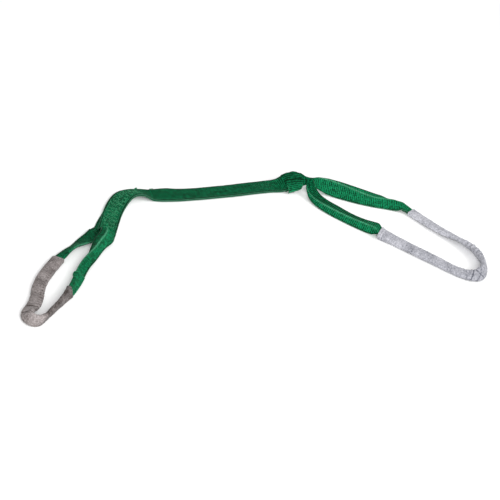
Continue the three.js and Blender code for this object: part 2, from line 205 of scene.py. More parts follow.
def ripples(x, y, seed, scale, waves=5):
    """Smooth seeded unevenness, about -1 to 1, over two lengths in millimetres: a sum of crossing waves."""
    draw = np.random.default_rng(seed)
    total = np.zeros(np.broadcast(x, y).shape)
    for _ in range(waves):
        angle = draw.uniform(0, 2 * math.pi)
        stretch = draw.uniform(0.6, 1.7)
        phase = draw.uniform(0, 2 * math.pi)
        k = 2 * math.pi * stretch / scale
        total = total + np.sin(k * (x * math.cos(angle) + y * math.sin(angle)) + phase)
    return total / waves ** 0.5 / 1.4


class Route:
    """The web's cross-sections along a table: its bent line, and the sleeve's frame.

    half is half the thickness that lies on the floor, and turn is how far the sleeve's long side is turned
    from the first flap.
    """

    def __init__(self, table, half, turn=0, bunched=((0,), (1,))):
        self.table, self.half, self.turn, self.bunched = table, half, turn, bunched
        self.body = table is BODY

    def at(self, t):
        t = np.atleast_1d(np.asarray(t, float))
        value, slope = spline(self.table, t)
        n = len(t)
        lean = value[:, 3]
        fold = np.zeros(n) if self.body else np.clip(value[:, 4], -180, 0)
        split = np.full(n, 2.0) if self.body else value[:, 5]
        cover = np.zeros(n) if self.body else np.clip(value[:, 6], 0, 1)
        middle = (np.arange(SECTION_STEPS) + 0.5) / SECTION_STEPS
        node = np.arange(SECTION_STEPS + 1) / SECTION_STEPS
        arc = np.maximum(np.radians(np.abs(fold)) * FOLD_RADIUS / WEB_WIDTH, 1e-4)[:, None]

        def angle(u):
            share = np.clip((u[None, :] - split[:, None]) / arc + 0.5, 0, 1)
            return np.radians(lean[:, None] + fold[:, None] * share)

        step = WEB_WIDTH / SECTION_STEPS
        bends = angle(middle)
        zero = np.zeros((n, 1))
        a = np.hstack([zero, np.cumsum(np.cos(bends) * step, axis=1)])
        z = np.hstack([zero, np.cumsum(np.sin(bends) * step, axis=1)])
        a -= a.mean(axis=1, keepdims=True)
        z -= z.mean(axis=1, keepdims=True)
        bends = angle(node)
        web = -(z - self.half * np.abs(np.cos(bends))).min(axis=1)
        tilt = np.radians(lean + self.turn)
        sleeve = (
            (SLEEVE_HALF_WIDTH - SLEEVE_CORNER) * np.abs(np.sin(tilt))
            + (SLEEVE_HALF_HEIGHT - SLEEVE_CORNER) * np.abs(np.cos(tilt)) + SLEEVE_CORNER
        )
        height = np.maximum(web, web + (sleeve - web) * cover) + np.maximum(value[:, 2], 0)
        heading = slope[:, :2] / np.linalg.norm(slope[:, :2], axis=1, keepdims=True)
        side = np.stack([-heading[:, 1], heading[:, 0]], axis=1)
        left = np.interp(t, *self.bunched)
        if self.body:
            first, last = SWAY_ROWS
            fade = np.clip((t - first) / SWAY_FADE, 0, 1) * np.clip((last - t) / SWAY_FADE, 0, 1)
            slow = ripples(t * SWAY_ROW, 0, 91, 70)
            fast = ripples(t * SWAY_ROW, 0, 92, 24)
            sway = SWAY * fade * (slow + 0.5 * fast)
            value[:, :2] += side * sway[:, None]
        a, z = a * left[:, None], z * left[:, None]
        return {
            "left": left, "place": value[:, :2], "heading": heading, "side": side, "height": height,
            "tilt": tilt, "a": a, "z": z, "angle": bends, "split": split, "fold": fold, "cover": cover,
        }


def in_space(f, a, z):
    """Points of every cross-section: a across the web and z above the web's own height."""
    flat = f["place"][:, None, :] + a[:, :, None] * f["side"][:, None, :]
    return np.concatenate([flat, (f["height"][:, None] + z)[:, :, None]], axis=2)


def on_web(f, u, v):
    """Points on the web: u across it from 0 to 1, and v out of its face, for every cross-section."""
    k = np.clip(np.asarray(u, float), 0, 1) * SECTION_STEPS
    i = np.minimum(k.astype(int), SECTION_STEPS - 1)
    w = k - i
    angle = f["angle"][:, i] * (1 - w) + f["angle"][:, i + 1] * w
    v = v + crumpled(f["left"][:, None], np.asarray(u)[None, :])
    a = f["a"][:, i] * (1 - w) + f["a"][:, i + 1] * w - v * np.sin(angle)
    z = f["z"][:, i] * (1 - w) + f["z"][:, i + 1] * w + v * np.cos(angle)
    return in_space(f, a, z)


def above(points, lowest=FLOOR_GAP):
    """The same points, none of them lower than this over the floor."""
    points[:, :, 2] = np.maximum(points[:, :, 2], lowest)
    return points


def on_sleeve(f, p, q):
    """Points in the sleeve's section: p along its long side and q out of its face."""
    cos, sin = np.cos(f["tilt"])[:, None], np.sin(f["tilt"])[:, None]
    left = f["left"][:, None]
    q = q + crumpled(left, 0.5 + p / WEB_WIDTH)
    p = p * left
    return in_space(f, p * cos - q * sin, p * sin + q * cos)


left_route = Route(LEFT_EYE, WEB_HALF, -180)
right_route = Route(RIGHT_EYE, WEB_HALF, 0, EYE_BUNCHED)
body_route = Route(BODY, STACK_HALF, 0, BODY_BUNCHED)


class Segment:
    """One stretch of the endless webbing, measured along its middle line."""

    def __init__(self, route, start, stop, offset, flip, shaded=((0,), (0,))):
        self.route, self.offset, self.flip, self.shaded = route, offset, flip, shaded
        self.t = np.linspace(start, stop, 2400)
        self.line = on_web(route.at(self.t), np.array([0.5]), offset)[:, 0]
        self.s = np.concatenate([[0], np.cumsum(np.linalg.norm(np.diff(self.line, axis=0), axis=1))])
        self.begin = 0.0

    def number(self, s):
        return np.interp(s - self.begin, self.s, self.t)

    def length_at(self, t):
        order = np.argsort(self.t)
        return self.begin + float(np.interp(t, self.t[order], self.s[order]))


left_loop = Segment(left_route, 0, len(LEFT_EYE) - 1, 0, False, LEFT_SHADED)
bottom = Segment(body_route, LEFT_THROAT, RIGHT_THROAT, -PLY_MIDDLE, False)
right_loop = Segment(right_route, 0, len(RIGHT_EYE) - 1, 0, False, RIGHT_SHADED)
top = Segment(body_route, RIGHT_THROAT, LEFT_THROAT, PLY_MIDDLE, True)
LOOP = [left_loop, bottom, right_loop, top]
reach = 0.0
for number, segment in enumerate(LOOP):
    segment.begin = reach
    gap = np.linalg.norm(LOOP[(number + 1) % 4].line[0] - segment.line[-1])
    reach = segment.begin + segment.s[-1] + gap
LOOP_LENGTH = reach


def loop_points(s, u, v):
    """Points of the webbing at the lengths s round the loop; v may differ from row to row."""
    s = np.asarray(s, float)
    wrapped = np.mod(s, LOOP_LENGTH)
    out = np.zeros((len(s), len(u), 3))
    kept = np.zeros(len(s), bool)
    ridge, back = np.zeros((2, len(s), len(u)))
    v = np.broadcast_to(v, (len(s), len(u)))
    for segment in LOOP:
        mine = (wrapped >= segment.begin - 1e-9) & (wrapped <= segment.begin + segment.s[-1])
        if not mine.any():
            continue
        t = segment.number(wrapped[mine])
        f = segment.route.at(t)
        if segment is bottom:
            f["place"] = f["place"] + np.interp(t, *THROAT_DRIFT)[:, None] * f["side"]
        across = 1 - u if segment.flip else u
        out[mine] = on_web(f, across, v[mine] + segment.offset)
        away = (across[None, :] - f["split"][:, None]) * WEB_WIDTH
        bent = np.clip(np.abs(f["fold"]) / 45, 0, 1)[:, None] * (1 - f["cover"][:, None])
        back[mine] = np.clip(-away / 2, 0, 1) * bent * np.interp(t, *segment.shaded)[:, None]
        # ridge marks the crest of the fold, which the webbing material paints lighter, partly as wear and
        # partly as a painted highlight.
        ridge[mine] = np.exp(-((away / 1.8) ** 2)) * bent
        kept |= mine
    return out, ridge, back, kept


# ---------------- meshes
def grid_faces(rows, columns):
    """Faces between rings that follow each other."""
    r = np.arange(rows - 1)[:, None] * columns
    c = np.arange(columns)[None, :]
    n = (c + 1) % columns
    return np.stack([r + c, r + n, r + n + columns, r + c + columns], axis=2).reshape(-1, 4).tolist()


def strip_faces(rows, columns, turned=False):
    """Faces of a solid strip made of rings, with a cap at both ends."""
    faces = grid_faces(rows, columns)
    faces.append(list(range(columns))[::-1])
    faces.append(list(range((rows - 1) * columns, rows * columns)))
    return [face[::-1] for face in faces] if turned else faces


def tube_faces(rows, columns):
    """Faces of a tube with a wall: the rings of its outer face, then those of its inner face back again."""
    faces = grid_faces(2 * rows, columns)
    last = (2 * rows - 1) * columns
    for j in range(columns):
        n = (j + 1) % columns
        faces.append([last + j, last + n, n, j])
    return faces


def there_and_back(values):
    return np.concatenate([values, values[::-1]], axis=0)


def running_length(x, y):
    """Length along a line of points in a plane, up to each of them."""
    return np.concatenate([[0], np.cumsum(np.hypot(np.diff(x), np.diff(y)))])


def ribs_at(length):
    """Height share of the cross ribs, 0 to 1, at lengths along a webbing."""
    return 0.5 - 0.5 * np.cos(2 * math.pi * length / RIB_PITCH)


def make_mesh(name, points, faces, attributes):
    """A mesh piece. An attribute is given for every point, or as one row, one column or one value."""
    mesh = bpy.data.meshes.new(name)
    mesh.from_pydata((points.reshape(-1, 3) * MM).tolist(), [], faces)
    for key, values in attributes.items():
        layer = mesh.attributes.new(key, "FLOAT", "POINT")
        layer.data.foreach_set("value", np.broadcast_to(values, points.shape[:-1]).astype(np.float32).ravel())
    mesh.polygons.foreach_set("use_smooth", [len(f) == 4 for f in faces])
    mesh.update()
    piece = bpy.data.objects.new(name, mesh)
    bpy.context.scene.collection.objects.link(piece)
    return piece


def finish_piece(piece, material, where, replaces=()):
    """Look, slot and motion of a piece. where is the body it rides on, or hinge_blend's answer, for which the
    piece is only baked in place and gets no motion.
    """
    piece.data.materials.append(material)
    if isinstance(where, str):
        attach(piece, where)
    else:
        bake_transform(piece)
    if replaces:
        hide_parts(*replaces)


# Half thickness of the webbing against the distance from its edge: a round selvedge and a groove beside it
EDGE = [0.0, 0.3, 0.9, 1.8, 2.6, 3.3, 4.2, 5.5]
EDGE_HALF = [0.3, 0.75, 1.08, 1.18, 1.02, 1.22, 1.45, 1.5]
INNER_COLUMNS = np.linspace(7.0, WEB_WIDTH - 7.0, 25)
WEB_COLUMNS = np.concatenate([EDGE, INNER_COLUMNS, [WEB_WIDTH - e for e in reversed(EDGE)]])
# Width of the plain selvedge and of the stretch beside it where the ribs rise; the ribs' sharpness
SELVEDGE = 2.6
RIB_FADE = 3.0
RIB_SHARPNESS = 1.4
# Pitch of the weft picks that show at the selvedge
PICK_PITCH = 2.7


def web_half(u_mm):
    return np.interp(np.minimum(u_mm, WEB_WIDTH - u_mm), EDGE, EDGE_HALF)


def webbing(name, s_from, s_to):
    """A closed strip of webbing with cross ribs, between two lengths of the loop."""
    s = [s_from]
    while s[-1] < s_to - 1e-6:
        s.append(min(s[-1] + row_at(s[-1]), s_to))
    s = np.array(s)
    u_ring = there_and_back(WEB_COLUMNS)
    sign = np.repeat([1.0, -1.0], len(WEB_COLUMNS))
    distance = np.minimum(u_ring, WEB_WIDTH - u_ring)
    fade = np.clip((distance - SELVEDGE) / RIB_FADE, 0, 1)
    wander = 0.9 * ripples(u_ring[None, :], 0 * s[:, None], 3, 60) + 0.25 * ripples(s[:, None], 0, 5, 90)
    phase = 2 * math.pi * s[:, None] / RIB_PITCH + wander * 0.5
    rib = (0.5 - 0.5 * np.cos(phase)) ** RIB_SHARPNESS
    half = web_half(u_ring)[None, :] - RIB_DEPTH * (1 - rib) * fade[None, :]
    picks = np.sin(2 * math.pi * s[:, None] / PICK_PITCH + u_ring[None, :] * 0.2)
    selvedge = 0.12 * picks * (distance < 2.0)
    v = sign[None, :] * (half + selvedge)
    points, ridge, back, kept = loop_points(s, u_ring / WEB_WIDTH, v)
    points, ridge, back, s, rib = points[kept], ridge[kept], back[kept], s[kept], rib[kept]
    shade = np.array([tone_at(x) for x in s])[:, None] - back
    return make_mesh(name, points, strip_faces(*points.shape[:2]), {
        "along": s[:, None] * MM, "across": u_ring[None, :] * MM, "ridge": ridge, "rib": rib * fade[None, :],
        "tone": shade,
    })


# ---------------- materials
def srgb(r, g, b):
    def linear(c):
        c /= 255
        return c / 12.92 if c <= 0.04045 else ((c + 0.055) / 1.055) ** 2.4
    return (linear(r), linear(g), linear(b), 1)


class Nodes:
    """Short calls for building one material's nodes."""

    def __init__(self, name):
        self.material = bpy.data.materials.new(name)
        self.material.use_nodes = True
        self.tree = self.material.node_tree
        self.shader = self.tree.nodes["Principled BSDF"]

    def fill(self, node, values):
        for key, value in values.items():
            if isinstance(value, bpy.types.NodeSocket):
                self.tree.links.new(value, node.inputs[key])
            elif value is not None:
                node.inputs[key].default_value = value

    def node(self, kind, values, output=0, **settings):
        """One output of a new node, with its inputs linked or set."""
        node = self.tree.nodes.new("ShaderNode" + kind)
        for key, value in settings.items():
            setattr(node, key, value)
        self.fill(node, values)
        return node.outputs[output]

    def attribute(self, name):
        return self.node("Attribute", {}, "Fac", attribute_name=name)

    def math(self, operation, a, b=None, c=None, clamp=False):
        return self.node("Math", {0: a, 1: b, 2: c}, operation=operation, use_clamp=clamp)

    def times(self, a, b):
        return self.math("MULTIPLY", a, b)

    def vary(self, noise, size, value):
        """A value with noise added, which is centred on zero and has the given size."""
        return self.math("MULTIPLY_ADD", self.math("SUBTRACT", noise, 0.5), size, value)

    def ramp(self, value, low, high, to_low=0.0, to_high=1.0):
        return self.node("MapRange", {0: value, 1: low, 2: high, 3: to_low, 4: to_high}, clamp=True)

    def position(self):
        return self.node("TexCoord", {}, "Object")

    def plane(self, x, y):
        return self.node("CombineXYZ", {0: x, 1: y})

    def noise(self, where, scale, detail=2.0, roughness=0.5):
        values = {"Vector": where, "Scale": scale, "Detail": detail, "Roughness": roughness}
        return self.node("TexNoise", values, "Fac")

    def mix(self, share, a, b):
        return self.node("Mix", {0: share, 6: a, 7: b}, 2, data_type="RGBA")

    def bump(self, height, distance, strength, before=None):
        values = {"Strength": strength, "Distance": distance, "Height": height, "Normal": before}
        return self.node("Bump", values)

    def finish(self, color, roughness, normal, specular, sheen=0.0):
        self.fill(self.shader, {
            "Base Color": color, "Roughness": roughness, "Normal": normal, "Specular IOR Level": specular,
            "Sheen Weight": sheen, "Sheen Roughness": 0.45, "Sheen Tint": (1, 1, 1, 1),
        })
        return self.material


# Pitch of the warp yarns, and of the sleeve cloth's threads, in metres
YARN_PITCH = 0.0021
CLOTH_PITCH = 0.0016


def webbing_material(name):
    n = Nodes(name)
    along, across = n.attribute("along"), n.attribute("across")
    rib, ridge, tone = n.attribute("rib"), n.attribute("ridge"), n.attribute("tone")
    place = n.plane(along, across)
    # Weave: short floats of yarn, staggered from rib to rib
    yarn = n.math("SINE", n.times(across, 2 * math.pi / YARN_PITCH))
    picks = n.math("SINE", n.times(along, 2 * math.pi / (PICK_PITCH * MM)))
    weave = n.times(yarn, picks)
    fibre = n.noise(n.plane(n.times(along, 0.35), across), 1400)
    speck = n.noise(place, 260, 2.0, 0.6)
    patch = n.noise(n.position(), 9, 3.0, 0.55)
    soil = n.noise(n.position(), 26, 4.0, 0.6)
    # The raised ribs are painted lighter and the hollows between them darker: painted shade of the ribs. The
    # tone attribute adds the painted light and shade of each stretch, and the speckle grows with it.
    light = n.math("MULTIPLY_ADD", rib, 0.75, tone)
    sparkle = n.math("MULTIPLY_ADD", tone, 3.0, 0.9)
    light = n.vary(speck, sparkle, light)
    light = n.math("MULTIPLY_ADD", weave, 0.07, light)
    blotch = n.ramp(n.noise(place, 88, 3.0, 0.7), 0.33, 0.67)
    light = n.vary(blotch, 0.46, light)
    light = n.vary(patch, 0.35, light)
    light = n.math("SUBTRACT", light, 0.25, clamp=True)
    base = n.mix(light, srgb(0, 36, 16), srgb(20, 142, 93))
    # Selvedges and fold crests are painted lighter, partly as wear and partly as a painted highlight where
    # they catch the light.
    edge = n.math("MINIMUM", across, n.math("SUBTRACT", WEB_WIDTH * MM, across))
    selvedge = n.times(n.ramp(edge, 0.0, 0.0024, 1.0, 0.0), 0.45)
    wear_and_highlight = n.math("MAXIMUM", selvedge, n.times(ridge, 0.6))
    wear_and_highlight = n.math("MULTIPLY", wear_and_highlight, n.ramp(speck, 0.3, 0.62, 0.35, 1.0), clamp=True)
    base = n.mix(wear_and_highlight, base, srgb(92, 168, 132))
    dust = n.times(n.ramp(soil, 0.6, 0.85), 0.14)
    base = n.mix(dust, base, srgb(96, 112, 92))
    rough = n.ramp(speck, 0.2, 0.8, 0.5, 0.78)
    normal = n.bump(weave, 0.00025, 0.55)
    normal = n.bump(fibre, 0.00018, 0.6, normal)
    return n.finish(base, rough, normal, specular=0.04)


def thread_material(name, dark, light):
    n = Nodes(name)
    strand = n.math("SINE", n.times(n.attribute("twist"), 2 * math.pi))
    speck = n.noise(n.position(), 500)
    share = n.math("MULTIPLY_ADD", strand, 0.2, speck, clamp=True)
    base = n.mix(share, dark, light)
    rough = n.ramp(speck, 0.2, 0.8, 0.38, 0.62)
    normal = n.bump(strand, 0.0002, 0.6)
    return n.finish(base, rough, normal, specular=0.12)


def sleeve_material(name, dark, light, stain, stain_share, painted_crease_light):
    n = Nodes(name)
    along, around = n.attribute("along"), n.attribute("around")
    crease, tone = n.attribute("crease"), n.attribute("tone")
    place = n.plane(along, around)
    warp = n.math("SINE", n.times(around, 2 * math.pi / CLOTH_PITCH))
    weft = n.math("SINE", n.times(along, 2 * math.pi / CLOTH_PITCH))
    weave = n.times(warp, weft)
    mottle = n.noise(place, 240, 3.0, 0.65)
    cloud = n.noise(n.position(), 22, 4.0, 0.6)
    streak = n.noise(n.plane(n.times(along, 3.0), n.times(around, 0.7)), 60, 3.0)
    share = n.vary(mottle, 1.6, tone)
    share = n.vary(cloud, 0.9, share)
    share = n.vary(streak, 0.5, share)
    share = n.math("MULTIPLY_ADD", weave, 0.05, share)
    # Raised wrinkles are painted lighter and sunk ones darker, a painted highlight and painted shade of the
    # wrinkles.
    share = n.math("MULTIPLY_ADD", crease, painted_crease_light, share, clamp=True)
    base = n.mix(share, dark, light)
    dirt = n.ramp(n.noise(n.position(), 45, 5.0, 0.7), 0.5, 0.75)
    base = n.mix(n.times(dirt, stain_share), base, stain)
    rough = n.ramp(mottle, 0.2, 0.8, 0.7, 0.92)
    normal = n.bump(weave, 0.0002, 0.5)
    normal = n.bump(mottle, 0.0005, 0.5, normal)
    return n.finish(base, rough, normal, sheen=0.05, specular=0.15)


green_webbing = webbing_material("green_webbing")
green_thread = thread_material("green_thread", srgb(0, 48, 22), srgb(84, 182, 132))
seam_thread = thread_material("seam_thread", srgb(6, 70, 42), srgb(46, 132, 94))
# The last argument of each cloth is how strongly its wrinkles get painted highlight and painted shade.
left_cloth = sleeve_material(
    "left_sleeve_cloth", srgb(54, 47, 44), srgb(174, 166, 165), srgb(84, 70, 62), 0.3, 0.14)
right_cloth = sleeve_material(
    "right_sleeve_cloth", srgb(86, 88, 97), srgb(208, 208, 215), srgb(130, 128, 130), 0.22, 0.06)
left_thread = thread_material("left_sleeve_thread", srgb(84, 76, 72), srgb(150, 142, 138))
right_thread = thread_material("right_sleeve_thread", srgb(120, 121, 130), srgb(200, 201, 208))

# ---------------- webbing pieces
# Length of one row of a webbing mesh, where it shows and inside a sleeve
ROW = RIB_PITCH / 4
HIDDEN_ROW = 3.0
HIDDEN_ROWS = ((left_loop, 10.8, 24.2), (right_loop, 11.8, 28.2))
# How light the webbing is painted along each route, standing in for how each stretch faces the light: painted
# light and shade. Row numbers, and the tone at each
BODY_TONE = ([1, 1.6, 3.4, 5, 6, 8, 10, 17, 20], [0.24, 0.18, 0.13, 0.11, 0.12, 0.11, 0.1, 0.13, 0.14])
LEFT_EYE_TONE = ([0, 2, 5, 10, 25, 29, 33, 34], [0.38, 0.34, 0.2, 0.18, 0.1, 0.02, 0.04, 0.08])
RIGHT_EYE_TONE = ([0, 3, 8, 11, 29, 32, 36, 39], [0.36, 0.34, 0.32, 0.32, 0.3, 0.32, 0.3, 0.2])
TONES = ((left_loop, LEFT_EYE_TONE), (bottom, BODY_TONE), (right_loop, RIGHT_EYE_TONE), (top, BODY_TONE))
# The small gaps between the four stretches of the loop take the tone of the stretch before them
GAP_REACH = 8


def tone_at(s):
    s = s % LOOP_LENGTH
    for segment, tones in TONES:
        if s <= segment.begin + segment.s[-1] + GAP_REACH:
            return float(np.interp(float(segment.number(s)), *tones))
    return 0.3


def row_at(s):
    s = s % LOOP_LENGTH
    for loop, low, high in HIDDEN_ROWS:
        if loop.length_at(low) < s < loop.length_at(high):
            return HIDDEN_ROW
    return ROW


def on_rib(s):
    return round(s / RIB_PITCH) * RIB_PITCH


JOINTS = {joint["name"]: joint for joint in frame["joints"]}


def hinge_blend(name, before, after):
    joint = JOINTS[name]
    along = Vector((-joint["axis"][1], joint["axis"][0], 0)).normalized()
    at = Vector(joint["pos_m"])
    return joint["parent"], joint["child"], tuple(at + along * before * MM), tuple(at + along * after * MM)


left_throat = hinge_blend("left_throat_fold", -8, 34)
corner = hinge_blend("left_corner_fold", -26, 26)
middle = hinge_blend("middle_fold", -24, 24)
right_throat = hinge_blend("right_throat_fold", -8, 34)

# Row numbers where the body's pieces end: past the left throat, past the corner, past the middle fold
THROAT_END, CORNER_END, MIDDLE_END = 3.0, 10.2, 15.8
# The pieces in their order round the loop, each of which ends where the next one starts, outside every
# stretch that bends: name, segment and row number where it starts, body or joint, CAD nodes it replaces
WEBBING = [
    ("left_eye", left_loop, 1.9, "left_eye", ["left_eye_web"]),
    ("left_throat_lower", left_loop, 31.5, left_throat, ["left_end_bottom_ply"]),
    ("corner_lower", bottom, THROAT_END, corner, ["left_end_bottom_ply", "middle_left_bottom_ply"]),
    ("middle_lower", bottom, CORNER_END, middle, ["middle_left_bottom_ply", "middle_right_bottom_ply"]),
    ("right_throat_lower", bottom, MIDDLE_END, right_throat, ["middle_right_bottom_ply"]),
    ("right_eye", right_loop, 2.5, "right_eye", ["right_eye_web"]),
    ("right_throat_upper", right_loop, 33.0, right_throat, ["middle_right_top_ply"]),
    ("middle_upper", top, MIDDLE_END, middle, ["middle_right_top_ply", "middle_left_top_ply"]),
    ("corner_upper", top, CORNER_END, corner, ["middle_left_top_ply", "left_end_top_ply"]),
    ("left_throat_upper", top, THROAT_END, left_throat, ["left_end_top_ply"]),
]
cuts = [on_rib(segment.length_at(row)) for _, segment, row, _, _ in WEBBING]
cuts.append(cuts[0] + LOOP_LENGTH)
# Every webbing piece, and how it is held
for (name, _, _, where, nodes), s_from, s_to in zip(WEBBING, cuts, cuts[1:]):
    piece = webbing(f"{name}_webbing", s_from, s_to)
    finish_piece(piece, green_webbing, where, nodes)


# ---------------- stitches
# Width and height of the stitches of each kind of sewing
EDGE_STITCH = (1.5, 0.9)
DENSE_STITCH = (1.5, 1.1)
SPARSE_STITCH = (1.3, 0.9)
LOOSE_STITCH = (1.3, 4.5)
SLEEVE_STITCH = (1.1, 0.7)
# Sections of a stitch along it and points round each; how thin its ends are; length of one turn of the yarn
STITCH_RINGS, STITCH_SIDES = 5, 6
STITCH_END = 0.35
YARN_TURN = 1.6


def stitches(name, ends, size, lift, point_at):
    """Stitches as short crowned threads of a width and height, between pairs of (length, width position)."""
    width, height = size
    k = np.linspace(0, 1, STITCH_RINGS)[:, None]
    a = 2 * math.pi * np.arange(STITCH_SIDES) / STITCH_SIDES
    crown = np.sin(math.pi * np.clip(k * 0.9 + 0.05, 0, 1))
    thin = STITCH_END + (1 - STITCH_END) * crown
    side = 0.5 * width * thin * np.cos(a)
    up = height * (0.5 * np.sin(a) * thin + 0.5 * crown) + lift
    points, twist = [], []
    for (s0, u0), (s1, u1) in ends:
        ds, du = s1 - s0, u1 - u0
        long = max(math.hypot(ds, du), 1e-6)
        points.append((s0 + ds * k - du / long * side, u0 + du * k + ds / long * side, up))
        twist.append(k * long / YARN_TURN + np.arange(STITCH_SIDES) / STITCH_SIDES)
    last = (STITCH_RINGS - 1) * STITCH_SIDES
    one = [list(range(STITCH_SIDES)), list(range(last, last + STITCH_SIDES))[::-1]]
    for ring in range(0, last, STITCH_SIDES):
        for j in range(STITCH_SIDES):
            n = (j + 1) % STITCH_SIDES
            one.append([ring + j, ring + j + STITCH_SIDES, ring + n + STITCH_SIDES, ring + n])
    starts = range(0, len(ends) * (last + STITCH_SIDES), last + STITCH_SIDES)
    faces = [[start + v for v in face] for start in starts for face in one]
    s, u, v = np.transpose(points, (1, 0, 2, 3)).reshape(3, -1)
    return make_mesh(name, point_at(s, u, v), faces, {"twist": np.ravel(twist)})


def on_top(s, u_mm, v):
    """Points over the upper ply: s is the length along the top stretch of the loop."""
    f = body_route.at(top.number(s))
    u = np.clip(u_mm / WEB_WIDTH, 0, 1) * SECTION_STEPS
    i = np.minimum(u.astype(int), SECTION_STEPS - 1)
    w = u - i
    rows = np.arange(len(s))
    angle = f["angle"][rows, i]
    v = v + crumpled(f["left"], u_mm / WEB_WIDTH)
    a = f["a"][rows, i] * (1 - w) + f["a"][rows, i + 1] * w - v * np.sin(angle)
    z = f["z"][rows, i] * (1 - w) + f["z"][rows, i + 1] * w + v * np.cos(angle)
    return in_space(f, a[:, None], z[:, None])[:, 0]


# Stitches are drawn a little into the webbing. The edge seams lie this far from the edge
STITCH_LIFT = STACK_HALF - 0.35
SEAM_INSET = 6.0


def row_of_stitches(s_from, s_to, u, pitch=5.4, length=4.2):
    out = []
    s = s_from
    while s + length < s_to:
        out.append(((s, u), (s + length, u)))
        s += pitch
    return out


def top_at(row, right=0.0):
    """Length along the top ply at a row of the body's table, and some millimetres to the right of it."""
    return top.length_at(row) - right


# Row number where the edge seams end by the wrap
SEAM_END = 17.5
# Name, stretch of the top ply, body or joint, the CAD's lengths of seam
SEAM_SPANS = [
    ("left_throat", top_at(THROAT_END), top_at(LEFT_THROAT, 9), left_throat, ["left_end"]),
    ("corner", top_at(CORNER_END), top_at(THROAT_END), corner, ["left_end", "middle_left"]),
    ("middle", top_at(MIDDLE_END), top_at(CORNER_END), middle, ["middle_left", "middle_right"]),
    ("right", top_at(SEAM_END), top_at(MIDDLE_END), "middle_right", ["middle_right"]),
]
for name, s0, s1, where, lengths in SEAM_SPANS:
    for side, u in (("near", SEAM_INSET), ("far", WEB_WIDTH - SEAM_INSET)):
        row = row_of_stitches(s0 + 0.5, s1, u)
        piece = stitches(f"{name}_{side}_edge_stitches", row, EDGE_STITCH, STITCH_LIFT, on_top)
        nodes = [f"{part}_{side}_seam" for part in lengths]
        finish_piece(piece, seam_thread, where, nodes)


def zigzag(s_from, s_to, turn, low, high, pitch=4.6, length=3.9):
    """Stitches along a zigzag over the width; turn is the length of one leg along the web."""
    out = []
    corners = [(s_from, low)]
    while corners[-1][0] + turn <= s_to:
        corners.append((corners[-1][0] + turn, high if corners[-1][1] == low else low))
    for (s0, u0), (s1, u1) in zip(corners, corners[1:]):
        total = math.hypot(s1 - s0, u1 - u0)
        for k in range(int(total / pitch)):
            a, b = k * pitch / total, (k * pitch + length) / total
            out.append(((s0 + (s1 - s0) * a, u0 + (u1 - u0) * a), (s0 + (s1 - s0) * b, u0 + (u1 - u0) * b)))
    return out


def scattered(s_from, s_to, count, seed):
    """Short stitches in two crossing directions, spread unevenly over most of the width."""
    draw = np.random.default_rng(seed)
    out = []
    for k in range(count):
        s0 = draw.uniform(s_from, s_to - 3)
        u0 = draw.uniform(5.0, WEB_WIDTH - 5.0)
        lean = math.radians(draw.normal(24 if k % 2 else -24, 9))
        long = draw.uniform(2.6, 4.6)
        u1 = min(max(u0 + long * math.sin(lean), 4.5), WEB_WIDTH - 4.5)
        out.append(((s0, u0), (s0 + long * math.cos(lean), u1)))
    return out


# Sewing over both plies, dense at the left end and sparse before the wrap: length of a zigzag's legs along
# the web, and distance from the edge
DENSE_TURN, SPARSE_TURN = 9.0, 12.0
DENSE_INSET, SPARSE_INSET = 9.5, 11
# Row numbers where the dense sewing starts, and of both ends of the sparse sewing
SEWN_FROM_ROW = 5.9
SPARSE_ROWS = (16.4, 14.9)
# Name, stretch of the top ply, number and seed of the scattered stitches, body or joint, CAD nodes
for name, zone, count, seed, where, nodes in (
    ("throat", (top_at(THROAT_END), top_at(LEFT_THROAT, 7)), 110, 5, left_throat, ["left_throat_stitching"]),
    ("end", (top_at(SEWN_FROM_ROW), top_at(THROAT_END, -2)), 130, 6, "left_end", ()),
):
    sewing = zigzag(*zone, DENSE_TURN, DENSE_INSET, WEB_WIDTH - DENSE_INSET) + scattered(*zone, count, seed)
    piece = stitches(f"left_{name}_zigzag_stitches", sewing, DENSE_STITCH, STITCH_LIFT, on_top)
    finish_piece(piece, green_thread, where, nodes)

# Two tufts of three thread ends stand out of the far edge by the corner
TUFT_SPACING = 41
loose = [
    ((top_at(SEWN_FROM_ROW, k * TUFT_SPACING + dx), 44.0 + dx),
     (top_at(SEWN_FROM_ROW, k * TUFT_SPACING + 2 * dx - 2), 49.6))
    for k in (0, 1) for dx in (0.0, 2.0, 3.5)
]
piece = stitches("loose_thread_ends", loose, LOOSE_STITCH, STITCH_LIFT, on_top)
finish_piece(piece, seam_thread, corner)

s0, s1 = (top_at(row) for row in SPARSE_ROWS)
low, high = SPARSE_INSET, WEB_WIDTH - SPARSE_INSET
sparse = zigzag(s0, s1, SPARSE_TURN, low, high) + zigzag(s0 + 4, s1, SPARSE_TURN, high, low)
piece = stitches("right_throat_zigzag_stitches", sparse, SPARSE_STITCH, STITCH_LIFT, on_top)
finish_piece(piece, seam_thread, "middle_right", ["right_throat_stitching"])


# ---------------- sleeves
def outline(half_width, half_height, count, side_power=0.5, face_power=0.5):
    """Points round a flattened outline with rounded corners."""
    a = np.linspace(0, 2 * math.pi, count, endpoint=False)
    c, s = np.cos(a), np.sin(a)
    p = half_width * np.sign(c) * np.abs(c) ** side_power
    return p, half_height * np.sign(s) * np.abs(s) ** face_power


def outward(p, q, half_width, half_height):
    """Directions out of an outline at its points."""
    x, y = p / half_width ** 2, q / half_height ** 2
    return x / np.hypot(x, y), y / np.hypot(x, y)


# Wrinkles neither sink nor rise by more than this
CREASE_LIMITS = (-1.0, 2.0)


